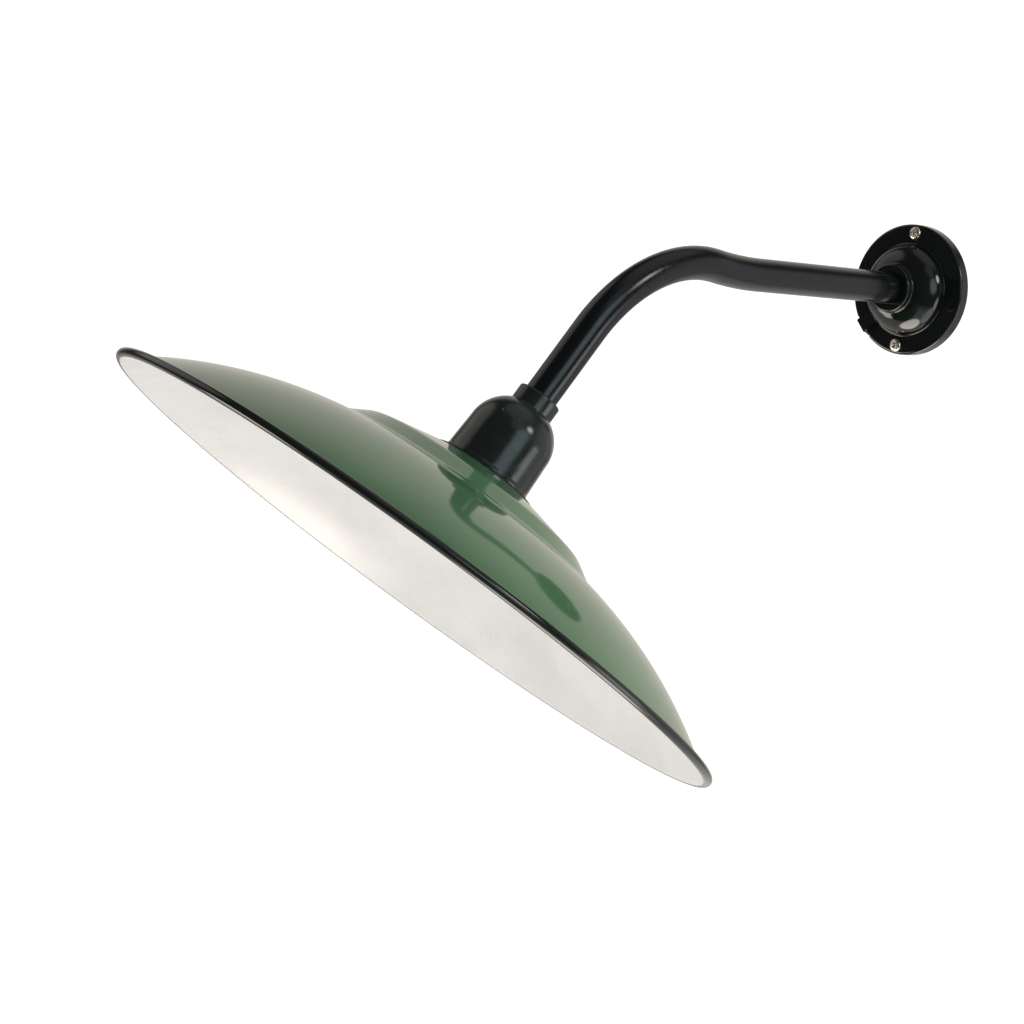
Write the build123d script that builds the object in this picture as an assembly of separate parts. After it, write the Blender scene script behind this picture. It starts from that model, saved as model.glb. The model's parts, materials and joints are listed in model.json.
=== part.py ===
from build123d import *
import math
import os

# Gooseneck wall sconce. Millimetres and degrees.
# The origin is the centre of the wall flange on the wall's face.
# +Y goes into the wall, +Z is up, and the arm stands out along -Y in the plane X = 0.

# Arm: a bent tube
tube_diameter = 19.1
tube_wall = 1.6
arm_run = 150.2          # wall to the start of the small reverse bend
rise_radius = 290.0
arm_rise = 8.0           # angle of the reverse bend
bend_radius = 87.0
arm_drop = 67.5          # angle of the main bend
arm_tail = 45.5          # end of the main bend to the top of the collar
tube_in_collar = 12.2    # how far the tube goes into the cover

# Wall flange: a round casting
flange_diameter = 80.0
flange_thickness = 7.3
flange_height = 26.0
flange_turn = 9.5        # the screws stand this far off the arm's plane
boss_inset = 12.0        # flange's edge to the foot of the bell boss
neck_wall = 5.05
casting_wall = 3.0
plate_recess = 2.0
plate_recess_edge = 1.4
screw_inset = 5.5        # flange's edge to the screws' centres
hood_angle = 135.0       # from the upper screw, anticlockwise seen from the room
hood_width = 12.0
hood_rise = 3.5          # above the flat of the flange
hood_taper = 8.0
notch_width = 2.0
notch_depth = 1.8

# Mounting plate, behind the flange
plate_thickness = 1.9
cable_hole_diameter = 18.0
wall_hole_pitch_diameter = 40.0
wall_hole_diameter = 4.5

# Flange screws
flange_screw_diameter = 4.0
flange_screw_head = 8.0
flange_screw_head_height = 2.6

# Lock nut and bushes on the tube
nut_wall = 2.95          # tube to the nut's flats
nut_thickness = 4.0
nut_chamfer = 1.1
tube_behind_nut = 1.5
bush_lip = 1.0
bush_wall = 1.2
bush_sleeve = 6.0

# Connector in the flange
block_width = 16.0
block_length = 9.5
block_height = 8.6
block_to_casting = 3.0
pole_pitch = 8.0
block_tube_diameter = 4.6
block_tube_bore = 3.0
block_screw_diameter = 2.5
block_fixing_diameter = 2.0
block_fixing_head = 3.6
block_tower = 2.4        # the screw towers above the connector's base

# Leads through the arm
lead_diameter = 2.4
lead_spacing = 3.2
lead_bend_radius = 4.0
lead_slack = 1.0         # the leads cut the arm's bends by this much less radius

# Cover: a bell-shaped casting over the lampholder
cover_headroom = 14.8    # terminal screws to the collar's top
collar_wall = 3.05
collar_rounding = 1.0
dome_radius = 22.2
dome_centre_drop = 28.8  # collar's top to the middle of the dome's arc
cover_draft = 0.9        # the base stands out this far from the shoulder
cover_rim_lip = 0.4
cover_rim_height = 1.0
cover_flare_height = 2.6
cover_wall = 2.4
boss_to_wall = 0.3       # clamp boss centre to the inside of the wall
boss_to_porcelain = 1.2
clamp_boss_diameter = 7.2
clamp_boss_height = 24.0
clamp_screw_count = 3
clamp_screw_diameter = 3.0
clamp_screw_length = 13.0
clamp_screw_head = 5.6
clamp_screw_head_height = 2.0
grub_screw_diameter = 4.0
grub_screw_below_top = 5.4

# Gasket and clamp ring
gasket_margin = 5.1      # beyond the cover's rim
gasket_thickness = 1.7
gasket_edge = 0.9        # upright part of its sloping edge
gasket_shoulder = 0.7    # beyond the cover's rim, where the slope starts
clamp_ring_inset = 1.5   # inside the gasket's edge
clamp_ring_gap = 0.5     # round the porcelain's mouth
clamp_ring_thickness = 1.5

# Shade: spun sheet with a rim rolled outwards over a wire
shade_diameter = 386.6
shade_depth = 64.3       # flat top to the middle of the rim bead
shade_sheet = 0.8
crown_flat_margin = 1.5  # beyond the gasket's edge
crown_slope = 14.0
crown_edge_radius = 69.8
step_foot_radius = 84.0
skirt_radius = 246.0
skirt_slope_at_rim = 37.7
rim_bead_diameter = 5.0
rim_wrap = 262.0
crown_blend = 8.0
crown_edge_blend = 16.0
step_foot_blend = 14.0

# Lampholder
porcelain_height = 30.0
porcelain_step = 1.5     # the body stands out this far from the mouth
porcelain_flange = 1.9   # and the flange this far from the body
porcelain_mouth_wall = 2.85
porcelain_mouth_depth = 6.0
shell_slack = 0.4        # shell to the lamp's cap
shell_wall = 0.4
shell_floor_height = 17.8
shell_floor_edge = 0.4   # floor's hole to the terminal post
shell_lip_depth = 5.0
contact_recess_height = 21.0
plunger_diameter = 6.0
plunger_flange_diameter = 8.2
plunger_flange_thickness = 0.8
chamber_floor_height = 22.5
chamber_diameter = 8.6
spring_wire = 0.6
spring_diameter = 7.0
spring_turns = 5
plunger_travel = 0.8
terminal_plate_thickness = 0.8
terminal_plate_width = 7.0
terminal_block_start = 7.4
terminal_block_length = 6.0
terminal_block_height = 4.5
terminal_post_diameter = 3.0
post_to_shell = 0.25
terminal_screw_diameter = 3.0
terminal_screw_head = 5.4
terminal_screw_head_height = 1.8

# Lamp: a small globe on a 26 mm screw cap
lamp_length = 69.0
lamp_contact_height = 20.0
globe_diameter = 45.0
neck_in_cap = 0.2        # glass neck to the inside of the cap
globe_neck_top = 1.0
globe_glass = 0.9
globe_neck_blend = 3.0
cap_diameter = 25.5
cap_wall = 0.35
cap_bottom = -5.0
cap_top = 14.8
cap_shoulder = 1.75      # the cap is drawn in by this much at its top
insulator_top = 18.6
insulator_top_radius = 5.4
lamp_contact_radius = 4.8
stem_in_neck = 0.3
stem_radius = 3.2
stem_end = -16.0
lead_in_diameter = 0.7
filament_height = -28.0
filament_half_width = 7.0
filament_diameter = 0.9

# Clearances
fit = 0.1                # between pieces that are fastened together
thread_fit = 0.05        # screw in its tapped hole
screw_clearance = 0.2    # screw in its plain hole
moving_gap = 0.2         # plunger to lamp at rest
running_fit = 0.08       # plunger in its guide
spring_play = 0.1        # spring to terminal plate with the plunger fully in

# Sizes that follow from these
holder_height = porcelain_height + terminal_block_height + terminal_screw_head_height
cover_height = holder_height + cover_headroom
dome_centre_height = cover_height - dome_centre_drop
tube_radius = tube_diameter / 2
tube_bore_radius = tube_radius - tube_wall
flange_radius = flange_diameter / 2
boss_radius = flange_radius - boss_inset
neck_radius = tube_radius + neck_wall
screw_pitch_radius = flange_radius - screw_inset
recess_radius = flange_radius - plate_recess_edge
nut_seat = flange_height - 10.0
nut_across_flats = tube_diameter + 2 * nut_wall
nut_seat_radius = nut_across_flats / math.sqrt(3) + 1.5
tube_back = nut_seat - nut_thickness - tube_behind_nut
block_top_edge = boss_radius - casting_wall - block_to_casting - block_length
block_middle = plate_thickness + block_height / 2
block_seat = plate_thickness + block_height - block_tower
shade_top = -gasket_thickness
rim_height = shade_top - shade_depth
ring_top = shade_top - shade_sheet
ring_bottom = ring_top - clamp_ring_thickness
lamp_tip = lamp_contact_height - lamp_length
plunger_tip = lamp_contact_height + moving_gap
plate_top = porcelain_height + terminal_plate_thickness
lead_entry = porcelain_height + terminal_block_height / 2
shell_radius = cap_diameter / 2 + shell_slack
cup_radius = shell_radius + shell_wall + fit
mouth_radius = cup_radius + porcelain_mouth_wall
porcelain_radius = mouth_radius + porcelain_step
porcelain_flange_radius = porcelain_radius + porcelain_flange
post_radius = terminal_post_diameter / 2
post_centre = shell_radius - post_to_shell - post_radius
shell_floor_radius = post_centre - post_radius - shell_floor_edge
boss_pitch_radius = porcelain_radius + boss_to_porcelain + clamp_boss_diameter / 2
collar_radius = tube_radius + collar_wall
cover_base_radius = boss_pitch_radius + boss_to_wall + cover_wall
shoulder_radius = cover_base_radius - cover_draft
cover_rim_radius = cover_base_radius + cover_rim_lip
shade_hole_radius = porcelain_flange_radius + 2 * fit
gasket_radius = cover_rim_radius + gasket_margin
slope_radius = cover_rim_radius + gasket_shoulder
crown_flat_radius = gasket_radius + crown_flat_margin
clamp_ring_radius = gasket_radius - clamp_ring_inset
clamp_ring_bore_radius = mouth_radius + clamp_ring_gap
cap_inner_radius = cap_diameter / 2 - cap_wall
cap_shoulder_radius = cap_diameter / 2 - cap_shoulder
glass_neck_radius = cap_inner_radius - neck_in_cap
stem_flare_radius = glass_neck_radius - globe_glass - stem_in_neck

# Frames
wall_plane = Plane(origin=(0, 0, 0), x_dir=(1, 0, 0), z_dir=(0, -1, 0))
flange_plane = Plane(wall_plane.location * Rot(0, 0, flange_turn))
arm_plane = Plane(origin=(0, 0, 0), x_dir=(0, -1, 0), z_dir=(-1, 0, 0))


# Shapes that repeat

def rod(radius, low, high, x=0.0, y=0.0):
    """Round bar along Z from low to high."""
    upright = (Align.CENTER, Align.CENTER, Align.MIN)
    return Pos(x, y, low) * Cylinder(radius, high - low, align=upright)


def bar(x_low, x_high, y_low, y_high, z_low, z_high):
    """Square-edged bar between two corners."""
    size = (x_high - x_low, y_high - y_low, z_high - z_low)
    middle = ((x_low + x_high) / 2, (y_low + y_high) / 2, (z_low + z_high) / 2)
    return Pos(*middle) * Box(*size)


def turned(outline):
    """Solid of revolution about Z of a flat outline drawn as radius and height."""
    return revolve(Plane.XZ * outline, Axis.Z)


def rounded(outline, *corners):
    """Outline with the corners nearest to each (radius, height) rounded by a size."""
    for radius, height, size in corners:
        nearest = outline.vertices().sort_by_distance((radius, height, 0))[0]
        outline = fillet(nearest, size)
    return outline


def pan_head_screw(radius, head_radius, head_height, length):
    """Screw along Z with its seat at the origin, its head above and its shank below."""
    outline = make_face(
        Polyline(
            (0, -length),
            (radius, -length),
            (radius, 0),
            (head_radius, 0),
            (head_radius, head_height),
            (0, head_height),
            close=True,
        )
    )
    screw = turned(rounded(outline, (head_radius, head_height, head_height * 0.6)))
    recess = Pos(0, 0, head_height) * Cone(head_radius * 0.12, head_radius * 0.42, head_height,
                                           align=(Align.CENTER, Align.CENTER, Align.MAX))
    slot = head_radius * 0.28
    cross = Box(head_radius * 1.1, slot, head_height) + Box(slot, head_radius * 1.1, head_height)
    return screw - (recess & (Pos(0, 0, head_height) * cross))


def tube_along(path, outer_radius, bore_radius=0.0):
    """Tube or round wire swept along a path, square to it at both ends."""
    section_plane = Plane(origin=path @ 0, z_dir=path % 0)
    solid = sweep(section_plane * Circle(outer_radius), path=path)
    if bore_radius > 0:
        solid = solid - sweep(section_plane * Circle(bore_radius), path=path)
    return solid


# Route of the arm

run_out = Line((tube_back, 0), (arm_run, 0))
rise = JernArc(run_out @ 1, run_out % 1, rise_radius, arm_rise)
bend = JernArc(rise @ 1, rise % 1, bend_radius, -arm_drop)
collar_top = (bend @ 1) + (bend % 1) * arm_tail
tube_end = (bend @ 1) + (bend % 1) * (arm_tail + tube_in_collar)
run_down = Line(bend @ 1, tube_end)
arm_path = arm_plane * Wire([*run_out.edges(), *rise.edges(), *bend.edges(), *run_down.edges()])
rise_corner = (run_out @ 1) + (run_out % 1) * (rise_radius * math.tan(math.radians(arm_rise / 2)))
bend_corner = (rise @ 1) + (rise % 1) * (bend_radius * math.tan(math.radians(arm_drop / 2)))

# Frame of the lamp head: its origin is on the cover's lower face, and its Z goes up the arm
seat = collar_top + (bend % 1) * cover_height
head_plane = Plane(
    origin=arm_plane.from_local_coords(Vector(seat.X, seat.Y, 0)),
    x_dir=(1, 0, 0),
    z_dir=(arm_path % 1) * -1,
)


# Wall flange

def flange_casting():
    """Round flange with a bell boss, a neck for the tube and a hood for a surface cable."""
    bore = tube_radius + fit
    dome_top = (neck_radius + 2.6, flange_height - 5.6)
    dome_middle = (boss_radius - 2.9, flange_thickness + 7.6)
    inner_foot = boss_radius - casting_wall
    inner_start = (inner_foot, flange_thickness - casting_wall)
    inner_middle = (dome_middle[0] - casting_wall, dome_middle[1] - casting_wall)
    inner_end = (nut_seat_radius, nut_seat)
    edges = [
        Line((bore, flange_height), (neck_radius, flange_height)),
        Line((neck_radius, flange_height), (neck_radius, dome_top[1] + 0.6)),
        Line((neck_radius, dome_top[1] + 0.6), dome_top),
        ThreePointArc(dome_top, dome_middle, (boss_radius, flange_thickness)),
        Line((boss_radius, flange_thickness), (flange_radius, flange_thickness)),
        Line((flange_radius, flange_thickness), (flange_radius, 0)),
        Line((flange_radius, 0), (recess_radius, 0)),
        Line((recess_radius, 0), (recess_radius, plate_recess)),
        Line((recess_radius, plate_recess), (inner_foot, plate_recess)),
        Line((inner_foot, plate_recess), inner_start),
        ThreePointArc(inner_start, inner_middle, inner_end),
        Line(inner_end, (bore, nut_seat)),
        Line((bore, nut_seat), (bore, flange_height)),
    ]
    outline = rounded(
        make_face(edges),
        (flange_radius, flange_thickness, 1.6),
        (neck_radius, flange_height, 1.0),
        (neck_radius, dome_top[1] + 0.6, 1.2),
        (boss_radius, flange_thickness, 0.8),
    )
    casting = turned(outline)

    # Hood for a surface cable, drafted and closed at the rim by a wall
    hood_top = flange_thickness + hood_rise
    hood_start = boss_radius - 9.0
    hood_length = flange_radius - hood_start
    hood = extrude(Rectangle(hood_length, hood_width), hood_top, taper=hood_taper)
    hood = Pos(hood_start + hood_length / 2, 0, 0) * hood
    hood = hood - rod(inner_foot, 0, flange_thickness)
    half_hollow = hood_width / 2 - casting_wall
    hollow_end = recess_radius - casting_wall
    hollow = bar(hood_start - 4, hollow_end, -half_hollow, half_hollow, 0, hood_top - casting_wall)
    notch_start = flange_radius - notch_depth
    notch_side = hood_width / 2
    hood_direction = Rot(0, 0, 90 + hood_angle)
    notches = bar(notch_start, flange_radius + 1, notch_side, notch_side + notch_width, -1, hood_top)
    notches += bar(notch_start, flange_radius + 1, -notch_side - notch_width, -notch_side, -1, hood_top)
    casting = casting + hood_direction * hood
    casting = casting - hood_direction * hollow - hood_direction * notches
    casting = casting - rod(recess_radius, 0, plate_recess)

    # Holes for the two screws
    hole = flange_screw_diameter / 2 + screw_clearance
    for side in (-1, 1):
        casting -= rod(hole, 0, flange_thickness, y=side * screw_pitch_radius)
    return casting


def mounting_plate():
    """Steel disc screwed to the wall, with two tapped holes for the flange screws."""
    plate = rod(recess_radius - fit, 0, plate_thickness)
    plate -= rod(cable_hole_diameter / 2, 0, plate_thickness)
    tapped = flange_screw_diameter / 2 + thread_fit
    for side in (-1, 1):
        plate -= rod(tapped, 0, plate_thickness, y=side * screw_pitch_radius)
        wall_hole = side * wall_hole_pitch_diameter / 2
        plate -= rod(wall_hole_diameter / 2, 0, plate_thickness, x=wall_hole)
    plate -= rod(block_fixing_diameter / 2 + thread_fit, 0, plate_thickness, y=-block_centre())
    return plate


def block_centre():
    """Distance from the arm's axis to the middle of the connector."""
    return block_top_edge + block_length / 2


def flange_screws():
    """Two pan-head machine screws."""
    length = flange_thickness - screw_clearance
    head = flange_screw_head / 2
    screw = pan_head_screw(flange_screw_diameter / 2, head, flange_screw_head_height, length)
    return [Pos(0, side * screw_pitch_radius, flange_thickness) * screw for side in (-1, 1)]


def pipe_lock_nut():
    """Hexagon nut behind the neck, chamfered on its free face."""
    corner = nut_across_flats / math.sqrt(3)
    nut = extrude(RegularPolygon(corner, 6), nut_thickness)
    face = nut_across_flats / 2 + nut_chamfer / 4
    rounding = turned(
        make_face(
            Polyline(
                (0, 0),
                (face, 0),
                (corner + nut_chamfer / 4, nut_chamfer),
                (corner + nut_chamfer / 4, nut_thickness),
                (0, nut_thickness),
                close=True,
            )
        )
    )
    nut = (nut & rounding) - rod(tube_radius + thread_fit, 0, nut_thickness)
    return Pos(0, 0, nut_seat - nut_thickness) * nut


def pipe_bush():
    """Insulating bush for a cut end of the tube: lip below zero, sleeve above."""
    sleeve_radius = tube_bore_radius - fit
    outline = make_face(
        Polyline(
            (sleeve_radius - bush_wall, -bush_lip),
            (tube_radius - 0.3, -bush_lip),
            (tube_radius - 0.3, 0),
            (sleeve_radius, 0),
            (sleeve_radius, bush_sleeve),
            (sleeve_radius - bush_wall, bush_sleeve),
            close=True,
        )
    )
    lip_edge = (sleeve_radius - bush_wall, -bush_lip, 0.6)
    return turned(rounded(outline, lip_edge))


# Connector in the flange

def terminal_block():
    """Two-pole connector body with a pair of screw towers on each pole."""
    low = plate_thickness
    side = block_width / 2
    body = bar(-side, side, -block_top_edge - block_length, -block_top_edge, low, block_seat)
    tower = pole_pitch / 2 - 0.6
    across = Rot(90, 0, 0)
    middle = Pos(0, -block_centre(), block_middle)
    for pole in (-1, 1):
        x = pole * pole_pitch / 2
        body += bar(x - tower, x + tower, -block_top_edge - block_length + 0.8, -block_top_edge - 0.8,
                    low, low + block_height)
        entry = Cylinder(block_tube_diameter / 2 + fit / 2, block_length + 2)
        body -= middle * Pos(x, 0, 0) * across * entry
        for end in (-1, 1):
            y = -block_centre() + end * block_length / 4
            body -= rod(block_screw_diameter / 2 + fit, block_middle, low + block_height + 1, x=x, y=y)
    body -= rod(block_fixing_diameter / 2 + screw_clearance, low, low + block_height, y=-block_centre())
    head_space = block_fixing_head / 2 + screw_clearance
    body -= rod(head_space, block_seat, low + block_height, y=-block_centre())
    return body


def block_tubes():
    """The two brass tubes that the wires are clamped in."""
    inset = 1.6
    tube = Cylinder(block_tube_diameter / 2, block_length - 2 * inset)
    tube -= Cylinder(block_tube_bore / 2, block_length)
    tubes = []
    for pole in (-1, 1):
        placed = Pos(pole * pole_pitch / 2, -block_centre(), block_middle) * Rot(90, 0, 0) * tube
        for end in (-1, 1):
            x = pole * pole_pitch / 2
            y = -block_centre() + end * block_length / 4
            placed -= rod(block_screw_diameter / 2 + thread_fit, block_middle,
                          block_middle + block_tube_diameter, x=x, y=y)
        tubes.append(placed)
    return tubes


def block_screws():
    """Four slotted screws, two on each pole."""
    top = plate_thickness + block_height - 0.8
    radius = block_screw_diameter / 2
    screws = []
    for pole in (-1, 1):
        for end in (-1, 1):
            x = pole * pole_pitch / 2
            y = -block_centre() + end * block_length / 4
            screw = rod(radius, block_middle + 0.5, top, x=x, y=y)
            screw -= bar(x - radius, x + radius, y - 0.25, y + 0.25, top - 0.6, top)
            screws.append(screw)
    return screws


def block_fixing_screw():
    """Screw that holds the connector to the mounting plate."""
    length = block_seat - 0.1
    screw = pan_head_screw(block_fixing_diameter / 2, block_fixing_head / 2, 1.2, length)
    return Pos(0, -block_centre(), block_seat) * screw


# Leads

def lead(side):
    """Insulated lead from the connector, through the arm, to its terminal on the lampholder."""
    offset = side * lead_spacing / 2
    into_block = 1.0
    lead_end = terminal_block_start + 1.0
    block_entry = Vector(side * pole_pitch / 2, -block_top_edge - into_block, block_middle)
    points = [
        flange_plane.from_local_coords(block_entry),
        Vector(offset, -block_middle, 0),
        Vector(offset, -rise_corner.X, rise_corner.Y),
        Vector(offset, -bend_corner.X, bend_corner.Y),
        head_plane.from_local_coords(Vector(offset, 0, lead_entry)),
        head_plane.from_local_coords(Vector(side * lead_end, 0, lead_entry)),
    ]
    radii = [lead_bend_radius, rise_radius - lead_slack, bend_radius - lead_slack, lead_bend_radius]
    route = FilletPolyline(points, radius=radii)
    return tube_along(route, lead_diameter / 2)


# Cover over the lampholder

def clamp_positions():
    """Places of the clamp screws round the head's axis."""
    return PolarLocations(boss_pitch_radius, clamp_screw_count, start_angle=90)


def dome_height_at(radius, wall=0.0):
    """Height of the dome's arc at a radius, taken in by a wall."""
    centre = shoulder_radius - dome_radius
    reach = dome_radius - wall
    return dome_centre_height + math.sqrt(reach**2 - (radius - centre) ** 2)


def bell(wall, floor):
    """Inside or outside face of the bell, as edges from its axis end down to its base."""
    centre = shoulder_radius - dome_radius
    top_radius = collar_radius if wall == 0 else tube_radius + fit
    top = (top_radius, dome_height_at(top_radius, wall))
    middle_angle = math.radians(40)
    reach = dome_radius - wall
    middle_height = dome_centre_height + reach * math.sin(middle_angle)
    middle = (centre + reach * math.cos(middle_angle), middle_height)
    shoulder = (shoulder_radius - wall, dome_centre_height)
    base = (cover_base_radius - wall, floor)
    return [ThreePointArc(top, middle, shoulder), Line(shoulder, base)], top, base


def holder_cover():
    """Bell casting with a collar for the tube and three tapped bosses inside."""
    outside, collar_foot, base = bell(0.0, cover_flare_height)
    collar = collar_radius
    rim = cover_rim_radius
    edges = [
        Line((0, cover_height), (collar, cover_height)),
        Line((collar, cover_height), collar_foot),
        *outside,
        Line(base, (rim, cover_rim_height)),
        Line((rim, cover_rim_height), (rim, 0)),
        Line((rim, 0), (0, 0)),
        Line((0, 0), (0, cover_height)),
    ]
    outline = rounded(
        make_face(edges),
        (collar, cover_height, collar_rounding),
        (collar_foot[0], collar_foot[1], 0.7),
        (base[0], base[1], 2.0),
        (rim, cover_rim_height, 0.4),
    )
    solid = turned(outline)

    inside, cavity_top, cavity_base = bell(cover_wall, 0.0)
    cavity_edges = [
        Line((0, cavity_top[1]), cavity_top),
        *inside,
        Line(cavity_base, (0, 0)),
        Line((0, 0), (0, cavity_top[1])),
    ]
    cavity = turned(make_face(cavity_edges))
    for place in clamp_positions():
        cavity -= place * rod(clamp_boss_diameter / 2, 0, clamp_boss_height)
    solid -= cavity
    solid -= rod(tube_radius + fit, cavity_top[1] - 2, cover_height)
    for place in clamp_positions():
        solid -= place * rod(clamp_screw_diameter / 2 + thread_fit, 0, clamp_screw_length - 2)
    grub = Pos(0, 0, cover_height - grub_screw_below_top) * Rot(0, -90, 0)
    solid -= grub * rod(grub_screw_diameter / 2 + thread_fit, 0, collar)
    return solid


def collar_grub_screw():
    """Socket grub screw on the far side of the collar, with its point on the tube."""
    length = collar_radius - tube_radius - fit
    screw = rod(grub_screw_diameter / 2, tube_radius + fit, tube_radius + fit + length)
    socket = extrude(RegularPolygon(grub_screw_diameter * 0.29, 6), 1.4)
    screw -= Pos(0, 0, tube_radius + fit + length - 1.4) * socket
    return Pos(0, 0, cover_height - grub_screw_below_top) * Rot(0, -90, 0) * screw


def seat_gasket():
    """Gasket between the cover and the shade, its edge sloping out from the cover's foot."""
    inner = shade_hole_radius
    outer = gasket_radius
    edge_top = (outer, shade_top + gasket_edge)
    slope_middle = ((slope_radius + outer) / 2, (shade_top + gasket_edge) * 0.2)
    edges = [
        Line((inner, 0), (inner, shade_top)),
        Line((inner, shade_top), (outer, shade_top)),
        Line((outer, shade_top), edge_top),
        ThreePointArc(edge_top, slope_middle, (slope_radius, 0)),
        Line((slope_radius, 0), (inner, 0)),
    ]
    gasket = turned(make_face(edges))
    for place in clamp_positions():
        gasket -= place * rod(clamp_screw_diameter / 2 + screw_clearance, shade_top, 0)
    return gasket


def clamp_ring():
    """Steel ring inside the shade that the clamp screws pull up."""
    ring = rod(clamp_ring_radius, ring_bottom, ring_top)
    ring -= rod(clamp_ring_bore_radius, ring_bottom, ring_top)
    for place in clamp_positions():
        ring -= place * rod(clamp_screw_diameter / 2 + screw_clearance, ring_bottom, ring_top)
    return ring


def clamp_screws():
    """Three screws from inside the shade into the cover's bosses."""
    head = clamp_screw_head / 2
    screw = pan_head_screw(clamp_screw_diameter / 2, head, clamp_screw_head_height, clamp_screw_length)
    upwards = Rot(180, 0, 0) * screw
    return [place * Pos(0, 0, ring_bottom) * upwards for place in clamp_positions()]


# Shade

def shade_line():
    """Upper face of the sheet, from the middle hole out to the end of the rolled rim."""
    bead = rim_bead_diameter / 2
    wire_radius = bead - shade_sheet
    rim_centre = (shade_diameter / 2 - bead, rim_height)
    slope = math.radians(skirt_slope_at_rim)
    reach = skirt_radius + wire_radius
    skirt_centre = (rim_centre[0] - reach * math.sin(slope), rim_centre[1] - reach * math.cos(slope))
    step_run = step_foot_radius - skirt_centre[0]
    step_foot = (step_foot_radius, skirt_centre[1] + math.sqrt(skirt_radius**2 - step_run**2))
    crown_drop = (crown_edge_radius - crown_flat_radius) * math.tan(math.radians(crown_slope))
    crown_edge = (crown_edge_radius, shade_top - crown_drop)
    foot_angle = math.degrees(math.atan2(step_foot[1] - skirt_centre[1], step_run))
    rim_angle = 90 - skirt_slope_at_rim
    skirt = CenterArc(skirt_centre, skirt_radius, foot_angle, rim_angle - foot_angle)
    roll = CenterArc(rim_centre, wire_radius, rim_angle - 180, rim_wrap)
    straights = [
        Line((shade_hole_radius, shade_top), (crown_flat_radius, shade_top)),
        Line((crown_flat_radius, shade_top), crown_edge),
        Line(crown_edge, step_foot),
    ]
    edges = [edge for piece in (*straights, skirt, roll) for edge in piece.edges()]
    line = Wire(edges)
    blends = (
        ((crown_flat_radius, shade_top), crown_blend),
        (crown_edge, crown_edge_blend),
        (step_foot, step_foot_blend),
    )
    for (x, y), size in blends:
        corner = line.vertices().sort_by_distance((x, y, 0))[0]
        line = line.fillet_2d(size, [corner])
    return line


def shade():
    """Spun sheet shade with a rolled rim and three holes for the clamp screws."""
    outline = make_face(offset(shade_line(), amount=shade_sheet, side=Side.RIGHT, closed=True))
    solid = turned(outline)
    for place in clamp_positions():
        solid -= place * rod(clamp_screw_diameter / 2 + screw_clearance, ring_top - 1, shade_top + 1)
    return solid


def rim_wire():
    """Steel wire inside the rolled rim."""
    bead = rim_bead_diameter / 2
    wire = bead - shade_sheet - thread_fit
    return turned(Pos(shade_diameter / 2 - bead, rim_height) * Circle(wire))


# Lampholder

def lampholder_body():
    """Glazed porcelain body: a cup for the shell, a chamber for the spring and two post holes."""
    bottom = -porcelain_mouth_depth
    outline = make_face(
        Polyline(
            (0, porcelain_height),
            (porcelain_radius, porcelain_height),
            (porcelain_radius, 0),
            (porcelain_flange_radius, 0),
            (porcelain_flange_radius, ring_top),
            (mouth_radius, ring_top),
            (mouth_radius, bottom),
            (cup_radius, bottom),
            (cup_radius, shell_floor_height),
            (shell_floor_radius, shell_floor_height),
            (shell_floor_radius, contact_recess_height),
            (0, contact_recess_height),
            close=True,
        )
    )
    outline = rounded(
        outline,
        (porcelain_radius, porcelain_height, 1.5),
        (mouth_radius, bottom, 1.0),
        (cup_radius, bottom, 0.8),
    )
    body = turned(outline)
    body -= rod(plunger_diameter / 2 + running_fit, contact_recess_height, chamber_floor_height)
    body -= rod(chamber_diameter / 2, chamber_floor_height, porcelain_height)
    body -= rod(post_radius + fit, shell_floor_height, porcelain_height, x=-post_centre)
    for place in clamp_positions():
        body -= place * rod(clamp_screw_diameter / 2 + 0.7, ring_top, 0)
    return body


def screw_shell():
    """Brass shell that the lamp screws into, with an inward floor at its top."""
    inner = shell_radius
    outer = inner + shell_wall
    outline = make_face(
        Polyline(
            (inner, -shell_lip_depth),
            (outer, -shell_lip_depth),
            (outer, shell_floor_height),
            (shell_floor_radius, shell_floor_height),
            (shell_floor_radius, shell_floor_height - shell_wall),
            (inner, shell_floor_height - shell_wall),
            close=True,
        )
    )
    return turned(outline)


def contact_plunger():
    """Sprung centre contact."""
    radius = plunger_diameter / 2
    flange = plunger_flange_diameter / 2
    top = chamber_floor_height + plunger_flange_thickness
    outline = make_face(
        Polyline(
            (0, plunger_tip), (radius, plunger_tip), (radius, chamber_floor_height),
            (flange, chamber_floor_height), (flange, top), (0, top),
            close=True,
        )
    )
    return turned(rounded(outline, (radius, plunger_tip, 0.8)))


def contact_spring():
    """Coil spring that rides on the plunger, short of the terminal plate by the plunger's travel."""
    low = chamber_floor_height + plunger_flange_thickness + spring_wire / 2
    high = porcelain_height - plunger_travel - spring_play - spring_wire / 2
    radius = (spring_diameter - spring_wire) / 2
    pitch = (high - low) / spring_turns
    coil = Helix(pitch=pitch, height=high - low, radius=radius)
    section = Plane(origin=coil @ 0, z_dir=coil % 0) * Circle(spring_wire / 2)
    return Pos(0, 0, low) * sweep(section, path=coil, is_frenet=True)


def terminal_clamp(side, floor):
    """Brass block with a hole for the lead and a tapped hole for its screw."""
    start = terminal_block_start
    end = start + terminal_block_length
    middle = start + terminal_block_length / 2
    half = terminal_plate_width / 2
    top = porcelain_height + terminal_block_height
    block = bar(start, end, -half, half, floor, top)
    entry = Pos(start, 0, lead_entry) * Rot(0, 90, 0)
    block -= entry * rod(lead_diameter / 2 + screw_clearance, 0, terminal_block_length - 1.5)
    block -= rod(terminal_screw_diameter / 2 + thread_fit, lead_entry, top, x=middle)
    return block if side > 0 else Rot(0, 0, 180) * block


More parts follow.
